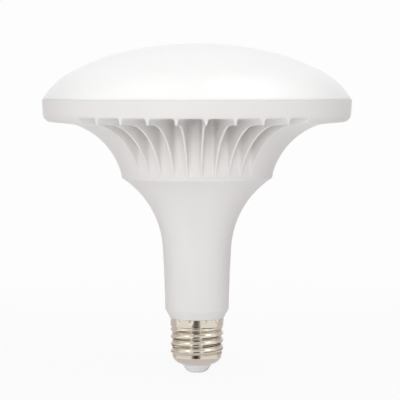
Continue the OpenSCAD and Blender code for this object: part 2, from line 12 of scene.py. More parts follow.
import bmesh
import bpy
import numpy as np
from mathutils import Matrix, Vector


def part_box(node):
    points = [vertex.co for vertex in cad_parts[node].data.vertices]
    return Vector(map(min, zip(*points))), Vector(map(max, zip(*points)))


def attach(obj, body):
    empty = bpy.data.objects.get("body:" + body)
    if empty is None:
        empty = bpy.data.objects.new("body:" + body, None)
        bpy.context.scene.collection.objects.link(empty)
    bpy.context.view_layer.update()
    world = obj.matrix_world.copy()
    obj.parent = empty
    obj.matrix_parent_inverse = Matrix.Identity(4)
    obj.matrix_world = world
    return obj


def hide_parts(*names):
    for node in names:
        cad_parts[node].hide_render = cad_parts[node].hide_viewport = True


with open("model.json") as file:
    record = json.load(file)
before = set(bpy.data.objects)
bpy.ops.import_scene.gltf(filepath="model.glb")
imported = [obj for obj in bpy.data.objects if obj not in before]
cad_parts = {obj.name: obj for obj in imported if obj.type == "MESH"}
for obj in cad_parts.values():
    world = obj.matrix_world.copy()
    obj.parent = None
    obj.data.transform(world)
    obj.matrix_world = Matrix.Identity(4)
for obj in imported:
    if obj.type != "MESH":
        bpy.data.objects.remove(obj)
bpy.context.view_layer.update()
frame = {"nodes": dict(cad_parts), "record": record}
MM = 1000.0
print("nodes in the frame:", len(frame["nodes"]))


# %% [markdown]
# The model gives the main sizes, so that each surface lands where its solid is. A node's box is
# enough for a turned piece: its half width is a radius, and its two heights are the ends.

# %% Main sizes
def span(node):
    """Lowest and highest corner of a node's box, in millimetres."""
    low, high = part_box(node)
    return np.array(low) * MM, np.array(high) * MM


RIM_R, _, JOINT_Z = span("housing")[1]
SPIGOT_Z = span("housing")[0][2]
APEX_Z = span("diffuser")[1][2]
SKIRT_Z = span("diffuser")[0][2]
CAP_Z = span("screw_shell")[1][2]
MOUTH_Z = span("screw_shell")[0][2]
INSULATOR_TOP_Z = span("cap_insulator")[1][2]
CONTACT_R, _, PIN_TOP_Z = span("base_contact")[1]
print(f"rim radius {RIM_R:.2f}, joint {JOINT_Z:.2f}, apex {APEX_Z:.2f}, cap {CAP_Z:.2f} mm")

# %% [markdown]
# ## Profiles
# Almost every piece of the lamp is turned round one axis, so its shape is a profile in radius and
# height. A profile here is an array of points (radius, height). It is put together from straight
# lines and arcs, as on a drawing board, and its corners are rounded afterwards, as a mould's corners
# are.


# %% Lines and arcs
TINY = 1e-9


def arc(centre, start, end, steps=60):
    """Arc about centre from start to end, the short way round: centre + radius * (cos a, sin a)."""
    centre, start, end = (np.asarray(p, float) for p in (centre, start, end))
    first = math.atan2(*(start - centre)[::-1])
    turn = math.atan2(*(end - centre)[::-1]) - first
    turn = (turn + math.pi) % (2 * math.pi) - math.pi
    a = first + turn * np.linspace(0, 1, steps + 1)
    return centre + np.linalg.norm(start - centre) * np.stack([np.cos(a), np.sin(a)], 1)


def chord_centre(p, q, sag):
    """Centre of the arc from p to q whose middle lies sag to the left of the straight chord."""
    p, q = np.asarray(p, float), np.asarray(q, float)
    half = np.linalg.norm(q - p) / 2
    along = (q - p) / (2 * half)
    radius = (half**2 + sag**2) / (2 * abs(sag))
    return (p + q) / 2 + np.array([-along[1], along[0]]) * (sag - math.copysign(radius, sag))


def square_centre(p, n, q):
    """Centre of the arc that leaves p square to n and ends at q:
    p + n * |q - p|^2 / (2 n.(q - p))."""
    p, n, q = (np.asarray(v, float) for v in (p, n, q))
    n = n / np.linalg.norm(n)
    return p + n * ((q - p) @ (q - p)) / (2 * (n @ (q - p)))


def towards(p, q, distance):
    """Point at this distance from p on the straight line to q."""
    return p + (q - p) / np.linalg.norm(q - p) * distance


def length_along(path):
    """Length of the path up to each of its points."""
    return np.concatenate([[0], np.cumsum(np.linalg.norm(np.diff(path, axis=0), axis=1))])


def at_lengths(path, lengths):
    """Points of the path at these lengths along it."""
    along = length_along(path)
    return np.stack([np.interp(lengths, along, path[:, k]) for k in range(path.shape[1])], 1)


def divide(path, count):
    """The same path as count + 1 points at even distances."""
    return at_lengths(path, np.linspace(0, length_along(path)[-1], count + 1))


print("arc test:", arc((0, 0), (1, 0), (0, 1), 2).round(3).tolist())

# %% [markdown]
# A sharp corner catches no light, and a real mould never has one. Instead of a fillet for each
# corner, the whole profile is averaged over a short window that slides along it. Straight lines and
# wide arcs stay as they are, and each corner turns in a small curve about as long as the window.
# The window may differ from place to place, so the ring can stay crisp where the pocket's corner is
# soft.

# %% Rounded corners and well-placed rows
FINE_STEP = 0.02
BEND_MM = 9.0


def soften(path, window):
    """Mean of the path over a window about each point, from the difference of its running integral.
    The window closes towards both ends, so that these stay where they are."""
    along = length_along(path)
    fine = np.linspace(0, along[-1], int(along[-1] / FINE_STEP) + 2)
    dense = at_lengths(path, fine)
    running = np.concatenate([[[0, 0]], np.cumsum((dense[1:] + dense[:-1]) * fine[1] / 2, 0)])
    half = np.minimum(np.broadcast_to(window, along.shape) / 2,
                      np.minimum(along, along[-1] - along))
    ahead, behind = (np.stack([np.interp(along + side * half, fine, running[:, k])
                               for k in (0, 1)], 1) for side in (1, -1))
    mean = (ahead - behind) / np.maximum(2 * half, TINY)[:, None]
    return np.where(half[:, None] > FINE_STEP, mean, path)


def pick(count, weight, *paths):
    """Indices of count rows. Each step counts its length, plus BEND_MM for each radian that it
    turns, summed over the paths, and the rows share that sum evenly."""
    share = np.zeros(len(paths[0]) - 1)
    for path in paths:
        step = np.diff(path, axis=0)
        heading = np.unwrap(np.arctan2(step[:, 1], step[:, 0]))
        share += np.hypot(*step.T) + BEND_MM * np.abs(np.diff(heading, prepend=heading[0]))
    total = np.concatenate([[0], np.cumsum(share * np.broadcast_to(weight, share.shape))])
    return np.unique(np.searchsorted(total, np.linspace(0, total[-1] * (1 - TINY), count)))


square = np.array([[0, 0], [10, 0], [10, 10.0]])
print("corner of a softened square:", soften(divide(square, 200), 2.0)[100].round(3))

# %% [markdown]
# Each surface is then a grid of rows and columns. The rows follow the profile, the columns go
# round, and neighbouring points are joined by four-sided faces. Where a row lies on the axis its
# points are merged into one, so the surface closes there. The signed volume tells whether the faces
# point outwards.

# %% From a grid of points to a piece
SHARP_DEG = 42.0
ON_AXIS_M, SAME_POINT_M, NO_SIZE_M = 1e-6, 1e-7, 1e-8
CM3 = 1e6


def surface(name, points, node, closed=True):
    """Piece from an array of points (rows, columns, 3) in millimetres, closed round the columns.
    closed joins the last row to the first too. Edges that turn by more than SHARP_DEG are sharp."""
    rows, columns = points.shape[:2]
    i = np.arange(rows if closed else rows - 1)[:, None]
    j = np.arange(columns)[None, :]
    below, right = (i + 1) % rows, (j + 1) % columns
    faces = np.stack(np.broadcast_arrays(i * columns + j, below * columns + j,
                                         below * columns + right, i * columns + right), -1)
    mesh = bpy.data.meshes.new(name)
    mesh.from_pydata((points.reshape(-1, 3) / MM).tolist(), [], faces.reshape(-1, 4).tolist())
    work = bmesh.new()
    work.from_mesh(mesh)
    pole = [v for v in work.verts if v.co.xy.length < ON_AXIS_M]
    if pole:
        bmesh.ops.remove_doubles(work, verts=pole, dist=SAME_POINT_M)
    bmesh.ops.dissolve_degenerate(work, dist=NO_SIZE_M, edges=work.edges)
    open_edges = sum(not e.is_manifold for e in work.edges)
    volume = work.calc_volume(signed=True) * CM3
    work.to_mesh(mesh)
    work.free()
    mesh.shade_smooth()
    mesh.set_sharp_from_angle(angle=math.radians(SHARP_DEG))
    piece = bpy.data.objects.new(name, mesh)
    bpy.context.scene.collection.objects.link(piece)
    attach(piece, "root")
    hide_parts(node)
    triangles = sum(len(p.vertices) - 2 for p in mesh.polygons)
    print(f"{name}: {rows} x {columns} points, {triangles} triangles, {volume:.2f} cm3, "
          f"{open_edges} open edges")
    return piece


def turned(profile, columns):
    """Profile carried round the axis: (radius cos a, radius sin a, height)."""
    a = np.linspace(0, 2 * math.pi, columns, endpoint=False)
    radius, height = profile[:, :1], profile[:, 1:]
    return np.stack(np.broadcast_arrays(radius * np.cos(a), radius * np.sin(a), height), -1)


# %% [markdown]
# ## The housing
# The housing is one moulding of white polymer: a flange, a concave flare, a trumpet that swings
# into a long neck, and a spigot inside the cap. Two quarters of its flare are open pockets with
# nine bays each, and thin ribs between them. A boolean cut would leave hard, unrounded edges, so
# the whole skin is one grid instead. It has three profiles: the land between the open quarters, a
# rib's edge, which follows the land but ends square under the rim, and the pocket, which dips in
# under the flange and runs down the back wall.
#
# The ring between flare and trumpet is a crisp corner. The bead above it is a seventh of a
# millimetre proud, no more than a sheet of card, but it draws the fine double line that the eye
# finds there.

# %% The land: the profile of the outside
WALL = 2.0
CREASE_Z = JOINT_Z - 12.0
RING_R, RING_Z = 36.8, 96.35
NECK_TOP = np.array([16.9, 62.0])
NECK_FOOT = np.array([15.7, CAP_Z + 4.0])
CORNER_TOP = np.array([RIM_R - 0.35, CREASE_Z + 5.3])
CORNER_FOOT = np.array([RIM_R - 3.0, CREASE_Z + 1.1])
CREASE = np.array([RIM_R - 14.9, CREASE_Z])
RING = np.array([RING_R, RING_Z])
CEILING_Z = JOINT_Z - 8.3
FLOOR_Z = JOINT_Z - 6.5
BAND_Z = RING_Z + 1.7
BACK_R = RING_R + 0.3
COLLAR_R, LIP_R, SPIGOT_R, BORE_R = 13.25, 14.0, 11.55, 9.8
LEDGE_Z = CAP_Z + 2.8
LIP_Z = CAP_Z + 1.5
SEAT_R, SEAT_FOOT_Z = COLLAR_R - 0.45, CAP_Z - 3.7
BEAD_H, BEAD_OUT, BEAD_STEP = 1.5, 0.15, (-0.08, 0.1)
CORNER_SAG, FLARE_SAG, TRUMPET_SAG = 0.75, -4.95, -4.7
FINE_ARC = 200

corner_centre = chord_centre(CORNER_TOP, CORNER_FOOT, CORNER_SAG)
flare_centre = chord_centre(CREASE, RING, FLARE_SAG)
trumpet_centre = chord_centre(RING, NECK_TOP, TRUMPET_SAG)
neck_centre = square_centre(NECK_TOP, trumpet_centre - NECK_TOP, NECK_FOOT)

rim_mid = np.array([[RIM_R - WALL / 2, JOINT_Z]])
flange = np.concatenate([rim_mid, [[RIM_R, JOINT_Z]],
                         arc(corner_centre, CORNER_TOP, CORNER_FOOT)])
flare = arc(flare_centre, CREASE, RING, FINE_ARC)
flare = flare[flare[:, 1] > RING_Z + BEAD_H]
bead = np.array([flare[-1] + [BEAD_OUT, BEAD_STEP[0]],
                 [RING_R + BEAD_OUT, RING_Z + BEAD_STEP[1]]])
trumpet = np.concatenate([arc(trumpet_centre, RING, NECK_TOP, FINE_ARC),
                          arc(neck_centre, NECK_TOP, NECK_FOOT)[1:]])
foot = np.array([[LIP_R, LIP_Z], [COLLAR_R + 0.25, CAP_Z], [SEAT_R, CAP_Z],
                 [SEAT_R, SEAT_FOOT_Z], [SPIGOT_R, SEAT_FOOT_Z - 0.2],
                 [SPIGOT_R, SPIGOT_Z], [BORE_R, SPIGOT_Z]])
print(f"flare radius {np.linalg.norm(CREASE - flare_centre):.1f} mm, "
      f"trumpet radius {np.linalg.norm(RING - trumpet_centre):.1f} mm")

# %% [markdown]
# The inside is turned too: the bore of the spigot, the ledge that the driver board stands on, the
# trumpet's hollow at an even wall, and the tray for the light board. It closes the skin, so the
# piece is a solid moulding and not a sheet.

# %% The inside of the moulding
trumpet_in = np.linalg.norm(RING - trumpet_centre) + WALL
tube_r = BACK_R - WALL
tube_foot_z = trumpet_centre[1] + math.sqrt(trumpet_in**2 - (tube_r - trumpet_centre[0]) ** 2)
neck_in = towards(NECK_TOP, trumpet_centre, -WALL)
inside = np.concatenate([
    [[BORE_R, LEDGE_Z], [NECK_FOOT[0] - WALL, LEDGE_Z], NECK_FOOT - [WALL, 0]],
    arc(trumpet_centre, neck_in, (tube_r, tube_foot_z)),
    [[tube_r, FLOOR_Z], [RIM_R - WALL, FLOOR_Z], [RIM_R - WALL, JOINT_Z]], rim_mid])
print(f"tube for the spreader: radius {tube_r:.2f}, from {tube_foot_z:.1f} to {FLOOR_Z:.1f} mm")


# %% [markdown]
# The profiles share every point outside the pockets. Between the ceiling, where they part, and the
# band, where they meet, the land runs along the outside and the pocket runs under the flange and
# down the back wall. A rib's edge follows the land too, but it ends square under the rim where the
# land turns round a wide corner. All three get the same number of points there, so a point of one
# belongs to a point of the others, and the side of a rib is simply drawn between its edge and the
# pocket.

# %% The pocket's and the rib's profile
PART_STEP = 0.05


def cut_at(path, height):
    """Length along a path, which falls in height, at which it reaches this height."""
    return np.interp(height, path[::-1, 1], length_along(path)[::-1])


def part(path, start, end):
    """Piece of the path between two lengths along it, as evenly spaced points."""
    return at_lengths(path, np.linspace(start, end, max(int((end - start) / PART_STEP), 2) + 1))


ZONE, REST = 1800, 9000
DRAFT = 0.85
RIB_END_R, RIB_END_Z = CORNER_TOP[0] - 0.45, CORNER_FOOT[1] - 0.35
outside = np.concatenate([flange, flare, bead, trumpet])
rim_length = length_along(outside)[2]
opens, meets = (rim_length + cut_at(outside[2:], z) for z in (CEILING_Z, BAND_Z))
land_mid = divide(part(outside, opens, meets), ZONE)
back_top = np.array([BACK_R + DRAFT, CEILING_Z])
pocket_mid = divide(np.array([land_mid[0], back_top, [BACK_R, BAND_Z], land_mid[-1]]), ZONE)
rib_end = np.array([RIB_END_R, RIB_END_Z])
under_end = land_mid[np.argmax(land_mid[:, 1] < RIB_END_Z):]
rib_mid = divide(np.concatenate([[land_mid[0], [RIB_END_R, CEILING_Z], rib_end], under_end]),
                 ZONE)
before = part(outside, 0, opens)[:-1]
after = np.concatenate([part(outside, meets, length_along(outside)[-1])[1:],
                        divide(np.concatenate([NECK_FOOT[None], foot, inside]), REST)[1:]])
land, pocket, rib = (np.concatenate([before, middle, after])
                     for middle in (land_mid, pocket_mid, rib_mid))
print(f"pocket back wall at {BACK_R:.2f} mm, profiles meet at {land_mid[-1].round(2).tolist()}")

# %% [markdown]
# Each corner gets its own softness: the rim and the lip are crisp, the crease under the flange
# turns over about two millimetres, the ring stays a clear line, and the pocket's inner corner is a
# wide fillet that the melt can flow round. Rows are then placed where the profile bends, and
# sparingly on the hidden inside.

# %% Softened profiles and chosen rows
def softness(path, default, *places):
    """Window for each point: default, and near each place (point, reach, window) its own,
    faded in by a smooth bump so that the window changes gently."""
    window = np.full(len(path), default)
    for point, reach, wide in places:
        near = np.clip(1 - np.linalg.norm(path - point, axis=1) / reach, 0, 1)
        window += (wide - default) * near**2 * (3 - 2 * near)
    return window


CRISP = 0.5
ROWS, HIDDEN_SHARE = 150, 0.3
shared = [(NECK_FOOT, 3.5, 1.6), (CORNER_TOP, 4.0, 2.5), ((LIP_R, LIP_Z), 1.4, 0.9)]
land = soften(land, softness(land, CRISP, (CREASE, 5.0, 4.0), (CORNER_FOOT, 3.0, 1.8), *shared))
pocket = soften(pocket, softness(pocket, CRISP, (back_top, 6.0, 4.5), *shared))
rib = soften(rib, softness(rib, CRISP, (CREASE, 5.0, 4.0), *shared))
hidden = np.arange(len(land) - 1) > len(land) - REST
rows = pick(ROWS, np.where(hidden, HIDDEN_SHARE, 1.0), land, pocket, rib)
land, pocket, rib = (path[rows][:-1] for path in (land, pocket, rib))
deepest = np.linalg.norm(pocket - land, axis=1)
print(f"{len(rows)} rows, of which {int((deepest > 0.01).sum())} cross the pockets, "
      f"deepest {deepest.max():.1f} mm")

# %% [markdown]
# Across half a bay the skin goes over five stretches: half the rib's edge, its rounded corner, the
# flat side, the fillet at the root and half the pocket's floor. Each column is one point of that
# walk, given as how far it has come on each stretch. The walk is measured in two lengths, sideways
# from the rib's middle plane and inwards from the land to the pocket, so a rib keeps its thickness
# from top to bottom.

# %% Columns across half a bay
PITCH = math.radians(10.25)
BAYS = 9
RIB_HALF, RIB_TOP_HALF, RIB_TOP_H = 0.55, 1.2, 2.5
EDGE_R, ROOT_R = 0.3, 1.9
SPREAD, SPREAD_SLOPE = 0.25, (-1.4, 1.6)
PLAIN_COLUMNS = 30
walk = np.array([[0, 0, 0, 0, 0], [.6, 0, 0, 0, 0], [1, 0, 0, 0, 0],
                 [1, 1 / 3, 0, 0, 0], [1, 2 / 3, 0, 0, 0], [1, 1, 0, 0, 0],
                 [1, 1, .2, 0, 0], [1, 1, .45, 0, 0], [1, 1, .72, 0, 0], [1, 1, 1, 0, 0],
                 [1, 1, 1, 1 / 3, 0], [1, 1, 1, 2 / 3, 0], [1, 1, 1, 1, 0],
                 [1, 1, 1, 1, .33], [1, 1, 1, 1, .67], [1, 1, 1, 1, 1]])
OUT, BACK = len(walk), len(walk) - 2
ON_EDGE = 3
spread = SPREAD * np.clip(np.linspace(*SPREAD_SLOPE, OUT), -1, 1)
spread[:ON_EDGE] = -SPREAD * walk[:ON_EDGE, 0]
print(f"columns in a bay: {OUT} out from one rib and {BACK} back to the next")

# %% The round of columns: ribs and bays on both open quarters, land between
def half_round(facing):
    """Rib number, base angle, side and walk of each column over the open quarter about this
    direction and the plain quarter after it. A plain column has side 0."""
    ribs = facing + PITCH * (np.arange(BAYS + 1) - BAYS / 2)
    number = np.repeat(np.arange(BAYS)[:, None] + [0, 1], [OUT, BACK], axis=1).ravel()
    side = np.tile(np.repeat([1.0, -1.0], [OUT, BACK]), BAYS)
    index = np.tile(np.concatenate([np.arange(OUT), np.arange(BACK, 0, -1)]), BAYS)
    plain = np.linspace(ribs[-1], ribs[0] + math.pi, PLAIN_COLUMNS, endpoint=False)
    still = np.zeros(PLAIN_COLUMNS, int)
    return (np.concatenate([number, still + BAYS]), np.concatenate([ribs[number], plain]),
            np.concatenate([side, still]), np.concatenate([index, still]))


halves = [half_round(math.radians(a)) for a in (-90, 90)]
rib_number, rib_angle, side, index = (np.concatenate(v) for v in zip(*halves))
across, edge, wall_way, fillet, floor_way = walk[index].T
squared = (rib_number > 0) & (rib_number < BAYS)
print(f"{len(rib_angle)} columns, {squared.sum()} of them on ribs with a square end")


# %% [markdown]
# Now every point of the skin follows from one formula. The edge shrinks where the pocket is
# shallow, and the fillet gets flatter there but stays wide, so a rib melts into the band above the
# ring. Where land and pocket run together, the columns that would fall on one another are spread a
# little along the surface, which does not change its shape and keeps every face open.

# %% The skin
EDGE_SHARE, ROOT_SHARE = 0.35, 0.55
ROOT_FULL_DEPTH, SPREAD_DEPTH = 1.2, 0.6
RIB_TOP_CURVE = 1.5


def housing_points(land, pocket, rib):
    """Sideways: across * (half - edge radius) + edge radius * sin + root width * (1 - cos).
    Inwards: edge radius * (1 - cos) + wall * rest + root depth * sin, from edge towards pocket.
    Angle: the rib's, plus or minus arcsin(sideways / radius), drawn to the bay's middle on its
    floor."""
    crest = np.where(squared[:, None], rib[:, None], land[:, None])
    inward = pocket[:, None] - crest
    depth = np.linalg.norm(inward, axis=2)
    edge_r = np.minimum(EDGE_R, EDGE_SHARE * depth)
    root_deep = np.minimum(ROOT_R, ROOT_SHARE * depth)
    root_wide = ROOT_R * np.clip(depth / ROOT_FULL_DEPTH, 0, 1)
    edge_a, fillet_a = edge * math.pi / 2, fillet * math.pi / 2
    inwards = (edge_r * (1 - np.cos(edge_a)) + wall_way * (depth - edge_r - root_deep)
               + root_deep * np.sin(fillet_a))
    share = inwards / np.maximum(depth, TINY)
    radius, height = (crest[..., k] + inward[..., k] * share for k in (0, 1))
    near_top = np.clip((height - CEILING_Z + RIB_TOP_H) / RIB_TOP_H, 0, 1)
    half = RIB_HALF + (RIB_TOP_HALF - RIB_HALF) * near_top**RIB_TOP_CURVE
    sideways = (across * (half - edge_r) + edge_r * np.sin(edge_a)
                + root_wide * (1 - np.cos(fillet_a))
                + spread[index] * np.clip(1 - depth / SPREAD_DEPTH, 0, 1))
    turn = np.arcsin(sideways / np.maximum(radius, RING_R))
    angle = rib_angle + side * (turn * (1 - floor_way) + PITCH / 2 * floor_way)
    return np.stack([radius * np.cos(angle), radius * np.sin(angle), height], -1)


housing = surface("housing_moulding", housing_points(land, pocket, rib), "housing")

# %% [markdown]
# ## The diffuser
# The dome is a thin opal moulding: a crown that is part of a large sphere, a rounder shoulder that
# leaves it without a kink, a short straight lip, and a skirt that stands in the tray. It is turned,
# with its first and last row on the axis.

# %% The dome's profile, turned
CROWN_R, CROWN_DROP, DOME_WALL = 51.2, 8.1, 1.6
LIP_IN, LIP_H, SLIP = 0.6, 0.6, 0.2
DOME_POINTS, DOME_ROWS, DOME_COLUMNS = 6000, 110, 240
DOME_CRISP, DOME_BLEND = 0.4, (30.0, 20.0)
crown_top, crown_end = np.array([0, APEX_Z]), np.array([CROWN_R, APEX_Z - CROWN_DROP])
crown_centre = np.array([0, APEX_Z - (CROWN_R**2 + CROWN_DROP**2) / (2 * CROWN_DROP)])
dome_foot = np.array([RIM_R - LIP_IN, JOINT_Z + LIP_H])
shoulder_centre = square_centre(crown_end, crown_centre - crown_end, dome_foot)
inner_end = towards(crown_end, crown_centre, DOME_WALL)
skirt_r = RIM_R - WALL - SLIP
skirt_in = skirt_r - DOME_WALL
shoulder_in = np.linalg.norm(crown_end - shoulder_centre) - DOME_WALL
skirt_top = np.array([skirt_in, shoulder_centre[1]
                      + math.sqrt(shoulder_in**2 - (skirt_in - shoulder_centre[0]) ** 2)])
dome = np.concatenate([
    arc(crown_centre, crown_top, crown_end), arc(shoulder_centre, crown_end, dome_foot)[1:],
    [[dome_foot[0], JOINT_Z], [skirt_r, JOINT_Z], [skirt_r, SKIRT_Z],
     [skirt_in, SKIRT_Z]], arc(shoulder_centre, skirt_top, inner_end),
    arc(crown_centre, inner_end, crown_top - [0, DOME_WALL])[1:]])
dome = divide(dome, DOME_POINTS)
dome = soften(dome, softness(dome, DOME_CRISP, (crown_end, *DOME_BLEND),
                             (inner_end, *DOME_BLEND)))
dome[0, 0] = dome[-1, 0] = 0.0
dome = dome[pick(DOME_ROWS, 1.0, dome)]
dome[-1] = [0.0, APEX_Z - DOME_WALL]
diffuser = surface("diffuser_dome", turned(dome, DOME_COLUMNS), "diffuser",
                   closed=False)

# %% [markdown]
# ## The screw cap
# The cap is one sheet of plated brass, drawn to a cup and then rolled, so its thread is a wave that
# winds round the sheet and fades out under the collar and above the shoulder. Small punch marks
# round the collar hold it to the housing's spigot.

# %% The thread's wave and the punch marks
ROOT_THREAD_R, THREAD_DEPTH, THREAD_PITCH = 12.3, 0.9, 3.63
COLLAR_FOOT_Z = CAP_Z - 4.3
SHOULDER_TOP_Z = MOUTH_Z + 4.7
CREST_Z = SHOULDER_TOP_Z + 3.35
FADE = 1.2
SHEET = 0.35
PUNCH_PITCH, PUNCH_FIRST = math.radians(30), math.radians(-90 - 40.5)
PUNCH_Z, PUNCH_WIDE, PUNCH_HIGH, PUNCH_DEEP = 26.5, 0.5, 0.6, 0.7


def smooth_share(low, high, v):
    """Share of the way from low to high, between 0 and 1, with soft ends: t^2 (3 - 2 t)."""
    t = np.clip((v - low) / (high - low), 0, 1)
    return t * t * (3 - 2 * t)


def wave_at(height, angle):
    """Rounded right-hand helix between 0 and 1: half of 1 + cos(full turns of height - angle)."""
    return 0.5 + 0.5 * np.cos(2 * math.pi * (height - CREST_Z) / THREAD_PITCH - angle)


def punched(height, angle):
    """Depth of the punch marks: a bell shape in arc length and height about each mark."""
    away = (angle - PUNCH_FIRST + PUNCH_PITCH / 2) % PUNCH_PITCH - PUNCH_PITCH / 2
    return PUNCH_DEEP * np.exp(-(away * COLLAR_R / PUNCH_WIDE) ** 2
                               - ((height - PUNCH_Z) / PUNCH_HIGH) ** 2)


print("turns of thread:", round((COLLAR_FOOT_Z - SHOULDER_TOP_Z) / THREAD_PITCH, 2))

# %% The shell's surface
MOUTH_R, SHOULDER_SAG, COLLAR_TURN = 7.65, 1.25, 0.4
SHELL_ROWS, SHELL_COLUMNS, SHELL_CRISP = 190, 288, 0.25
mouth = np.array([MOUTH_R, MOUTH_Z])
shoulder_top = np.array([ROOT_THREAD_R, SHOULDER_TOP_Z])
press_centre = chord_centre(shoulder_top, mouth, SHOULDER_SAG)
mid_thread_r = ROOT_THREAD_R + THREAD_DEPTH / 2
shell = np.concatenate([[[COLLAR_R - SHEET / 2, CAP_Z], [COLLAR_R, CAP_Z],
                         [COLLAR_R, COLLAR_FOOT_Z + COLLAR_TURN],
                         [mid_thread_r, COLLAR_FOOT_Z], [mid_thread_r, COLLAR_FOOT_Z - FADE / 2],
                         [ROOT_THREAD_R, COLLAR_FOOT_Z - FADE], shoulder_top],
                        arc(press_centre, shoulder_top, mouth)[1:]])
shell = divide(shell, SHELL_ROWS)
shell = soften(shell, softness(shell, SHELL_CRISP, ((COLLAR_R, COLLAR_FOOT_Z), 2.0, 1.0),
                               (shoulder_top, 3.0, 2.5)))
a = np.linspace(0, 2 * math.pi, SHELL_COLUMNS, endpoint=False)
direction = np.gradient(shell, axis=0)
direction /= np.linalg.norm(direction, axis=1)[:, None]
outwards = np.stack([-direction[:, 1], direction[:, 0]], 1)
height = shell[:, 1, None]
threaded = (smooth_share(COLLAR_FOOT_Z, COLLAR_FOOT_Z - FADE, height)
            * smooth_share(SHOULDER_TOP_Z, SHOULDER_TOP_Z + FADE, height))
radius = shell[:, :1] + THREAD_DEPTH * threaded * wave_at(height, a) - punched(height, a)
outer = np.stack([radius, height + 0 * a], -1)
inner = outer - SHEET * outwards[:, None, :]
inner[:2, :, 1] = CAP_Z
both = np.concatenate([outer, inner[::-1][::2]])
shell_points = np.stack([both[..., 0] * np.cos(a), both[..., 0] * np.sin(a), both[..., 1]], -1)
screw_shell = surface("screw_shell_rolled", shell_points, "screw_shell")

# %% [markdown]
# The insulator is a milky plug that fills the cap's foot and stands out below it as a short cone,
# and the bottom contact is a small disc on a pin. Both are turned, with the soft edges of a
# moulding and a stamping.

# %% Insulator and bottom contact
PIN_R, GAP, PROUD, DISC_T = 1.5, 0.1, 0.3, 0.6
BEVEL_FROM, BEVEL_TO, BEVEL_H = CONTACT_R + 0.7, CONTACT_R + 1.2, 0.4
MOUTH_LAP, MOUTH_CLEAR, CLEAR_UP = 0.15, 0.4, 0.45
PLUG_POINTS, PLUG_ROWS, PLUG_COLUMNS, PLUG_CRISP = 2400, 60, 144, 0.15
DISC_POINTS, DISC_ROWS, DISC_COLUMNS, DISC_CRISP = 1500, 40, 96, 0.25
SEAM_Z = 5.0
hole_r = PIN_R + GAP
inside_r = shoulder_top[0] - SHEET - SLIP
plug = np.concatenate([
    [[hole_r, SEAM_Z], [hole_r, DISC_T], [CONTACT_R + GAP, DISC_T],
     [CONTACT_R + GAP, PROUD], [BEVEL_FROM, PROUD], [BEVEL_TO, PROUD + BEVEL_H],
     mouth - MOUTH_LAP, [MOUTH_R - MOUTH_CLEAR, MOUTH_Z]],
    arc(press_centre, (MOUTH_R - MOUTH_CLEAR, MOUTH_Z + CLEAR_UP),
        (inside_r, SHOULDER_TOP_Z - GAP)),
    [[inside_r, INSULATOR_TOP_Z], [hole_r, INSULATOR_TOP_Z], [hole_r, SEAM_Z]]])
plug = divide(plug, PLUG_POINTS)[::-1]
bevel_mid = ((BEVEL_FROM + BEVEL_TO) / 2, PROUD + BEVEL_H / 2)
plug = soften(plug, softness(plug, PLUG_CRISP, (bevel_mid, 2.0, 1.0)))
plug = plug[pick(PLUG_ROWS, 1.0, plug)][:-1]
insulator = surface("insulator_plug", turned(plug, PLUG_COLUMNS), "cap_insulator")
disc = divide(np.array([[0, PIN_TOP_Z], [PIN_R, PIN_TOP_Z], [PIN_R, DISC_T],
                        [CONTACT_R, DISC_T], [CONTACT_R, 0.0], [0, 0.0]]),
              DISC_POINTS)
disc = soften(disc, DISC_CRISP)
disc[[0, -1], 0] = 0.0
disc = disc[pick(DISC_ROWS, 1.0, disc)]
disc[-1] = [0.0, 0.0]
contact = surface("bottom_contact_disc", turned(disc, DISC_COLUMNS), "base_contact",
                  closed=False)

# %% [markdown]
# ## Finishes
# A finish starts from what the surface is. Its colour is written as it looks on a screen and turned
# to the linear value that the renderer counts with. Every pattern is set in millimetres on Object
# coordinates, so it keeps its real size on each piece.


# %% Colours and one way to add a node
MIX_A, MIX_B, MIX_OUT = 6, 7, 2
MICRON = 1e-6
ALL_ALIKE = (1, 1, 1)


def linear(code):
    """Screen colour as six hex digits to linear red, green, blue and 1."""
    v = np.array([int(code[k : k + 2], 16) for k in (0, 2, 4)]) / 255
    return (*np.where(v <= 0.04045, v / 12.92, ((v + 0.055) / 1.055) ** 2.4).tolist(), 1.0)


def add(material, kind, links=(), **settings):
    """Adds a node. A setting names an input, with spaces as underscores, or else a property.
    A link is (input name or number, node, output name or number)."""
    tree = material.node_tree
    node = tree.nodes.new("ShaderNode" + kind)
    properties = {k: v for k, v in settings.items() if hasattr(node, k)}
    for key, value in properties.items():
        setattr(node, key, value)
    for key, value in settings.items():
        if key not in properties:
            node.inputs[key.replace("_", " ")].default_value = value
    for socket, source, output in links:
        tree.links.new(source.outputs[output], node.inputs[socket])
    return node


def blank(name):
    """New material with an empty node tree."""
    material = bpy.data.materials.new(name)
    material.use_nodes = True
    material.node_tree.nodes.clear()
    return material


def per_mm(size):
    """Noise scale at which one patch of the pattern is about this many millimetres wide."""
    return MM / size


def two_tones(material, noise, light, dark):
    """Colour that goes from one tone to the other with the noise."""
    mix = add(material, "Mix", [("Factor", noise, "Fac")], data_type="RGBA")
    mix.inputs[MIX_A].default_value = linear(light)
    mix.inputs[MIX_B].default_value = linear(dark)
    return mix


print("linear value of a mid grey:", linear("808080")[:3])

# %% [markdown]
# The housing is a white polymer, injection moulded in a tool that was lightly spark eroded. That
# gives it a satin sheen with soft highlights, a grain too fine to see one by one, and a faint
# change of tone where the melt flowed. The grain is about 0.1 mm across on the real part; it is
# drawn at 0.35 mm so that it shows.

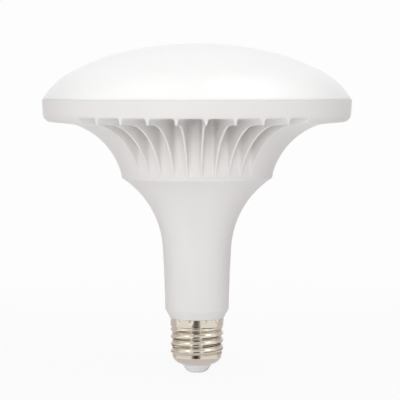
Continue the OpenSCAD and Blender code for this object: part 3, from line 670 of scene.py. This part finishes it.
# %% White moulded polymer
moulded = blank("white_polymer_injection_moulded")
place = add(moulded, "TexCoord")
grain = add(moulded, "TexNoise", [("Vector", place, "Object")], Scale=per_mm(0.35), Detail=2.0)
flow = add(moulded, "TexNoise", [("Vector", place, "Object")], Scale=per_mm(45), Detail=1.0)
tone = two_tones(moulded, flow, "E9E7E5", "E5E2E1")
sheen = add(moulded, "MapRange", [("Value", grain, "Fac")], To_Min=0.36, To_Max=0.46)
relief = add(moulded, "Bump", [("Height", grain, "Fac")], Strength=0.12, Distance=20 * MICRON)
white_plastic = add(moulded, "BsdfPrincipled",
                    [("Base Color", tone, MIX_OUT), ("Roughness", sheen, "Result"),
                     ("Normal", relief, "Normal")], IOR=1.54)
add(moulded, "OutputMaterial", [("Surface", white_plastic, "BSDF")])
housing.data.materials.append(moulded)
print("finish:", moulded.name)

# %% [markdown]
# The dome is opal polycarbonate: a clear resin filled with fine scattering powder and moulded in a
# polished tool that was then blasted a little. Light enters it, scatters and comes out nearby, so
# its shading is softer than the housing's and its tone a touch cooler and brighter.

# %% Opal polycarbonate
opal = blank("opal_polycarbonate_moulded")
place = add(opal, "TexCoord")
grain = add(opal, "TexNoise", [("Vector", place, "Object")], Scale=per_mm(0.5), Detail=1.0)
cloud = add(opal, "TexNoise", [("Vector", place, "Object")], Scale=per_mm(60), Detail=1.0)
tone = two_tones(opal, cloud, "F9F9F8", "F7F7F6")
relief = add(opal, "Bump", [("Height", grain, "Fac")], Strength=0.06, Distance=20 * MICRON)
opal_shader = add(opal, "BsdfPrincipled",
                  [("Base Color", tone, MIX_OUT), ("Normal", relief, "Normal")],
                  IOR=1.58, Roughness=0.34, Subsurface_Weight=0.25, Subsurface_Scale=3 / MM,
                  Subsurface_Radius=ALL_ALIKE)
add(opal, "OutputMaterial", [("Surface", opal_shader, "BSDF")])
diffuser.data.materials.append(opal)
print("finish:", opal.name)

# %% [markdown]
# The cap is brass sheet, drawn, rolled and then nickel plated. Plating keeps the fine rings that
# drawing leaves, so reflections are sharp along the axis and a little smeared round it. Nickel is a
# warm grey metal; the thread's roots get a darker, browner tone, which is painted shade.

# %% Nickel-plated brass
GROOVE_DEEP, GROOVE_FROM_Z, GROOVE_FULL_Z = 0.4, 8.5, 10.5
plated = blank("nickel_plated_brass_rolled")
place = add(plated, "TexCoord")
split = add(plated, "SeparateXYZ", [("Vector", place, "Object")])
rings = add(plated, "TexNoise", [("W", split, "Z")], noise_dimensions="1D", Scale=per_mm(0.25),
            Detail=3.0)
patches = add(plated, "TexNoise", [("Vector", place, "Object")], Scale=per_mm(6), Detail=3.0)
tone = two_tones(plated, patches, "E3DCCF", "DAD1C1")
flat_place = add(plated, "VectorMath", [(0, place, "Object")], operation="MULTIPLY")
flat_place.inputs[1].default_value = (1.0, 1.0, 0.0)
from_axis = add(plated, "VectorMath", [(0, flat_place, "Vector")], operation="LENGTH")
at_root = add(plated, "MapRange", [("Value", from_axis, "Value")], To_Min=1.0, To_Max=0.0,
              From_Min=ROOT_THREAD_R / MM, From_Max=(ROOT_THREAD_R + GROOVE_DEEP) / MM)
on_thread = add(plated, "MapRange", [("Value", split, "Z")],
                From_Min=GROOVE_FROM_Z / MM, From_Max=GROOVE_FULL_Z / MM)
groove = add(plated, "Math", [(0, at_root, "Result"), (1, on_thread, "Result")],
             operation="MULTIPLY")
# painted shade: the thread's roots are darkened to a brown tone where shade falls in the grooves
painted_root_shade = add(plated, "Mix", [("Factor", groove, "Value"), (MIX_A, tone, MIX_OUT)],
           data_type="RGBA")
painted_root_shade.inputs[MIX_B].default_value = linear("C2B7A4")
sheen = add(plated, "MapRange", [("Value", rings, "Fac")], To_Min=0.12, To_Max=0.2)
relief = add(plated, "Bump", [("Height", rings, "Fac")], Strength=0.12, Distance=20 * MICRON)
nickel = add(plated, "BsdfPrincipled",
             [("Base Color", painted_root_shade, MIX_OUT), ("Roughness", sheen, "Result"),
              ("Normal", relief, "Normal")], Metallic=1.0)
add(plated, "OutputMaterial", [("Surface", nickel, "BSDF")])
for piece in (screw_shell, contact):
    piece.data.materials.append(plated)
print("finish:", plated.name)

# %% [markdown]
# The insulator is pressed from milky resin against polished steel: smooth, slightly see-into and
# cool grey.

# %% Milky insulator
milky = blank("milky_resin_pressed")
place = add(milky, "TexCoord")
cloud = add(milky, "TexNoise", [("Vector", place, "Object")], Scale=per_mm(5), Detail=2.0)
tone = two_tones(milky, cloud, "F6F6F7", "ECECEE")
resin = add(milky, "BsdfPrincipled", [("Base Color", tone, MIX_OUT)], IOR=1.5, Roughness=0.18,
            Subsurface_Weight=0.2, Subsurface_Scale=2 / MM, Subsurface_Radius=ALL_ALIKE)
add(milky, "OutputMaterial", [("Surface", resin, "BSDF")])
insulator.data.materials.append(milky)
print("finish:", milky.name)

# %% [markdown]
# ## The pieces inside
# The light board and the driver keep the model's solids. Each finish is two tones of one material,
# mixed by a noise of the size of its real grain, which also gives a slight relief. A table holds
# what differs: the two tones, how rough and how metallic it is, the grain in millimetres and the
# height of its relief in microns.

# %% Finishes of the inner pieces
inner_finishes = {
    "aluminium_sheet": ("aluminium_drawn", "CCCED1", "BFC2C6", 0.32, 1.0, 0.8, 6),
    "board_white": ("solder_mask_white_printed", "EEEDE8", "E6E5DF", 0.28, 0.0, 3.0, 3),
    "board_green": ("glass_epoxy_green_mask", "2C6B45", "24583A", 0.3, 0.0, 0.6, 8),
    "phosphor": ("silicone_over_phosphor_dispensed", "E9D27A", "DDBE5C", 0.25, 0.0, 0.4, 4),
    "steel_zinc": ("steel_zinc_plated", "C9CBCE", "B7B9BE", 0.3, 1.0, 0.5, 6),
    "capacitor_sleeve": ("pet_sleeve_shrunk", "24314F", "1D2842", 0.3, 0.0, 2.0, 10),
    "film_yellow": ("epoxy_filled_box_moulded", "D2A62B", "C49822", 0.38, 0.0, 0.5, 12),
    "varistor_blue": ("epoxy_dipped", "2A4E9C", "234389", 0.3, 0.0, 1.2, 25),
    "resistor_body": ("lacquer_on_ceramic", "5F8A6B", "557C60", 0.42, 0.0, 0.6, 15),
    "chip_black": ("epoxy_compound_moulded", "25252A", "1D1D21", 0.55, 0.0, 0.3, 8),
    "ferrite": ("ferrite_sintered", "3A3A3C", "2F2F31", 0.6, 0.0, 0.4, 12),
    "enamel_copper": ("copper_wire_enamelled", "B0572B", "944520", 0.25, 0.6, 0.35, 60),
    "polyester_tape": ("polyester_tape_wound", "DDBB4C", "CFAB3C", 0.22, 0.0, 2.5, 10),
    "terminal_nylon": ("nylon_moulded", "E6E2D8", "DDD8CC", 0.45, 0.0, 0.5, 10),
    "wire_red": ("silicone_insulation_red", "B8302C", "A32824", 0.5, 0.0, 0.4, 8),
    "wire_black": ("silicone_insulation_black", "26262A", "1E1E22", 0.5, 0.0, 0.4, 8),
    "wire_brown": ("pvc_insulation_brown", "6A4227", "5C381F", 0.38, 0.0, 0.4, 6),
    "wire_blue": ("pvc_insulation_blue", "2F62A8", "285694", 0.38, 0.0, 0.4, 6),
}


def inner_finish(name, light, dark, roughness, metallic, grain_mm, relief_um):
    """Material of two tones mixed by a noise of this grain, with a relief of this height."""
    material = blank(name)
    place = add(material, "TexCoord")
    grain = add(material, "TexNoise", [("Vector", place, "Object")], Scale=per_mm(grain_mm),
                Detail=3.0)
    tone = two_tones(material, grain, light, dark)
    relief = add(material, "Bump", [("Height", grain, "Fac")], Strength=0.5,
                 Distance=relief_um * MICRON)
    shader = add(material, "BsdfPrincipled",
                 [("Base Color", tone, MIX_OUT), ("Normal", relief, "Normal")],
                 Roughness=roughness, Metallic=metallic)
    add(material, "OutputMaterial", [("Surface", shader, "BSDF")])
    return material


made = {slot: inner_finish(*row) for slot, row in inner_finishes.items()}
dressed = 0
for part_row in frame["record"]["subparts"]:
    if part_row["material_slot"] in made:
        mesh = frame["nodes"][part_row["node"]].data
        mesh.materials.clear()
        mesh.materials.append(made[part_row["material_slot"]])
        dressed += 1
print(f"{len(made)} finishes on {dressed} inner pieces")

# %% [markdown]
# ## The studio
# The lamp stands on its cap on a white sweep. For the camera and for reflections the sweep shines
# in its own white, so the background stays white without any more light on the lamp. Near the lamp
# a little of the lit paper shows through, which keeps the soft shadow, and further out it fades
# into the white of the world, so that no horizon is seen. The world does the same: white where it
# is seen, a calm grey where it lights.

# %% Seen white and the floor
PAPER_WHITE = linear("FDFDFD")
SHADOW_SHARE, FADE_FROM, FADE_TO = 0.08, 0.12, 0.45
FLOOR_HALF, FLOOR_DROP = 3.0, 0.00005


def seen_ray(owner):
    """1 where a camera, a reflected or a transmitted ray arrives, 0 where light is gathered."""
    ray = add(owner, "LightPath")
    seen = add(owner, "Math", [(0, ray, "Is Camera Ray"), (1, ray, "Is Glossy Ray")],
               operation="MAXIMUM")
    return add(owner, "Math", [(0, seen, 0), (1, ray, "Is Transmission Ray")],
               operation="MAXIMUM")


def stage_piece(name, points, faces, material):
    """Piece of the set, in metres."""
    mesh = bpy.data.meshes.new(name)
    mesh.from_pydata([tuple(p) for p in points], [], [tuple(f) for f in faces])
    mesh.materials.append(material)
    piece = bpy.data.objects.new(name, mesh)
    bpy.context.scene.collection.objects.link(piece)
    return piece


sweep = blank("paper_sweep_white")
place = add(sweep, "TexCoord")
reach = add(sweep, "VectorMath", [(0, place, "Object")], operation="LENGTH")
white_share = add(sweep, "MapRange", [("Value", reach, "Value")], From_Min=FADE_FROM,
                  From_Max=FADE_TO, To_Min=1 - SHADOW_SHARE, To_Max=1.0)
paper = add(sweep, "BsdfDiffuse", Color=linear("F8F8F8"))
shine = add(sweep, "Emission", Color=PAPER_WHITE, Strength=1.0)
both = add(sweep, "MixShader", [("Fac", white_share, "Result"), (1, paper, "BSDF"),
                                (2, shine, "Emission")])
surface_mix = add(sweep, "MixShader", [("Fac", seen_ray(sweep), 0), (1, paper, "BSDF"),
                                       (2, both, "Shader")])
add(sweep, "OutputMaterial", [("Surface", surface_mix, "Shader")])
stage_piece("floor", [(x * FLOOR_HALF, y * FLOOR_HALF, -FLOOR_DROP)
                      for x, y in ((-1, -1), (1, -1), (1, 1), (-1, 1))], [(0, 1, 2, 3)], sweep)
print("floor placed at", -FLOOR_DROP * MM, "mm")

# %% World
AMBIENT = 0.66
WHITE = (1, 1, 1, 1)
world = bpy.data.worlds.new("studio")
bpy.context.scene.world = world
world.use_nodes = True
world.node_tree.nodes.clear()
dim = add(world, "Background", Color=WHITE, Strength=AMBIENT)
bright = add(world, "Background", Color=PAPER_WHITE, Strength=1.0)
level = add(world, "MixShader", [("Fac", seen_ray(world), 0), (1, dim, "Background"),
                                 (2, bright, "Background")])
add(world, "OutputWorld", [("Surface", level, "Shader")])
print("world level for light:", AMBIENT)

# %% [markdown]
# The white surroundings give most of the light. One large soft lamp stands just left of the camera,
# hardly higher than the object: it lights the neck from the front, leaves its sides darker and
# throws the flange's soft shadow into the upper half of the pockets. Two weaker ones hang high on
# either side, where the flange keeps them off the neck, so that they even out the dome alone. A
# faint one stands far left.

# %% Lamps
TARGET = Vector((0.0, 0.0, 0.09))
LAMP_SIZE, LAMP_AWAY, TOP_LAMP_AWAY = 0.8, 1.5, 1.4


def around(aside, up, distance):
    """Place at a distance from the target, so many degrees to the right of the camera and up."""
    aside, up = math.radians(aside), math.radians(up)
    return TARGET + distance * Vector((math.sin(aside) * math.cos(up),
                                       -math.cos(aside) * math.cos(up), math.sin(up)))


def soft_lamp(name, place, watts):
    """Square area lamp at a place, turned to the target."""
    data = bpy.data.lights.new(name, "AREA")
    data.size = LAMP_SIZE
    data.energy = watts
    lamp = bpy.data.objects.new(name, data)
    bpy.context.scene.collection.objects.link(lamp)
    lamp.location = place
    lamp.rotation_mode = "QUATERNION"
    lamp.rotation_quaternion = (TARGET - place).to_track_quat("-Z", "Y")
    lamp.visible_camera = False


soft_lamp("front", around(-7, 3, LAMP_AWAY), 7.6)
soft_lamp("left", around(-75, 8, LAMP_AWAY), 0.5)
soft_lamp("left_above", around(-75, 66, TOP_LAMP_AWAY), 1.8)
soft_lamp("right_above", around(82, 66, TOP_LAMP_AWAY), 3.6)

# %% [markdown]
# Cards lie and stand round the set where reflections alone see them, as they do in a studio when
# metal is photographed. The camera looks down on the cap, so its upright collar mirrors the floor in
# front of it, and each large card therefore lies on the floor up to the cap and rises at its far
# end. A dark one in front gives the cap its dark upright line, with a paler and wider one under it
# for soft edges, and light grey ones at the sides shade its flanks. The small ones go round the
# cap's foot: a pale grey disc, a painted shadow, lies where the lamp's own shadow would be and
# shows in the rounded shoulder, and two brown strips, a centimetre above the floor, draw the fine
# lines in the lower slopes of the thread. The shoulder is lower than they are, so it stays clear.

# %% Cards for the metal
CARD_FROM, CARD_TO, CARD_HIGH = 0.024, 1.4, 1.2
CARD_COLUMNS = 33


def felt_card(name, outline, tone):
    """Sheet from rows of points (rows, columns, 3), seen by reflections alone unless changed."""
    outline = np.asarray(outline, float)
    rows, columns = outline.shape[:2]
    corner = np.arange(rows * columns).reshape(rows, columns)
    faces = np.stack([corner[:-1, :-1], corner[:-1, 1:], corner[1:, 1:], corner[1:, :-1]], -1)
    felt = blank(name + "_felt")
    glow = add(felt, "Emission", Color=linear(tone), Strength=1.0)
    add(felt, "OutputMaterial", [("Surface", glow, "Emission")])
    sheet = stage_piece(name, outline.reshape(-1, 3), faces.reshape(-1, 4), felt)
    sheet.visible_camera = sheet.visible_diffuse = sheet.visible_shadow = False
    sheet.visible_transmission = False
    return sheet


def fan(from_deg, to_deg, reach, height):
    """Row of points at this reach and height, over directions in degrees right of the camera."""
    a = np.radians(np.linspace(from_deg, to_deg, CARD_COLUMNS))
    return np.stack([reach * np.sin(a), -reach * np.cos(a), np.full(CARD_COLUMNS, height)], 1)


for name, from_deg, to_deg, lift, tone in (("card_front", -11, 7, 0.0008, "38342D"),
                                           ("card_front_edge", -19, 15, 0.0004, "98928A"),
                                           ("card_left", -150, -95, 0.0004, "D8D2D4"),
                                           ("card_right", 95, 150, 0.0004, "D8D2D4")):
    felt_card(name, [fan(from_deg, to_deg, CARD_FROM, lift), fan(from_deg, to_deg, CARD_TO, lift),
                     fan(from_deg, to_deg, CARD_TO - lift, CARD_HIGH)], tone)
for name, from_deg, to_deg, near, far, height, tone in (
        # the disc round the foot is a painted shadow: the lamp's shadow on the floor, seen in the
        # shoulder
        ("card_foot_painted_shadow", -180, 180, 0.0055, 0.0210, 0.0012, "DEDADF"),
        ("card_low_left", -110, -20, 0.0150, 0.0205, 0.0095, "85785F"),
        ("card_low_right", 20, 110, 0.0145, 0.0215, 0.0095, "544938")):
    felt_card(name, [fan(from_deg, to_deg, reach, height) for reach in (near, far)], tone)
print("cards from", CARD_FROM, "to", CARD_TO, "m")

# %% [markdown]
# Two grey flags stand upright behind the lamp's sides, lower than the dome. They show in no
# reflection and only take some of the surroundings' light from the sides of the neck and of the
# flare, which therefore darken towards their edges as round white things do in a studio. The one on
# the right is the darker.

# %% Flags for the white pieces
FLAG_REACH, FLAG_FOOT, FLAG_HIGH = 0.3, 0.002, 0.13
for name, from_deg, to_deg, tone in (("flag_left", -150, -95, "747474"),
                                     ("flag_right", 80, 150, "404040")):
    flag = felt_card(name, [fan(from_deg, to_deg, FLAG_REACH, height)
                            for height in (FLAG_FOOT, FLAG_HIGH)], tone)
    flag.visible_diffuse = flag.visible_shadow = True
    flag.visible_glossy = False
print("flags at", FLAG_REACH, "m")

# %% [markdown]
# ## The camera
# The photograph was taken from about 85 cm, a little above the middle of the lamp and two degrees
# round to its right, with a long lens. The rim, the ring and the neck's foot each show as a flat
# ellipse, and how far each is open gives the height of the camera.

# %% Camera
DISTANCE, CAMERA_Z, ROUND, DOWN, ASIDE = 0.85, 0.1421, 2.0, 3.82, 0.1
SENSOR_MM, LENS_MM, FAR_M = 36.0, 155.4, 20.0
camera_data = bpy.data.cameras.new("camera")
camera_data.sensor_width = SENSOR_MM
camera_data.lens = LENS_MM
camera_data.clip_end = FAR_M
camera = bpy.data.objects.new("camera", camera_data)
bpy.context.scene.collection.objects.link(camera)
turn = math.radians(ROUND)
camera.location = (DISTANCE * math.sin(turn), -DISTANCE * math.cos(turn), CAMERA_Z)
camera.rotation_euler = (math.radians(90 - DOWN), 0, math.radians(ROUND - ASIDE))
bpy.context.scene.camera = camera
bpy.context.scene.view_settings.view_transform = "Standard"
print("camera at", [round(v * MM) for v in camera.location], "mm")
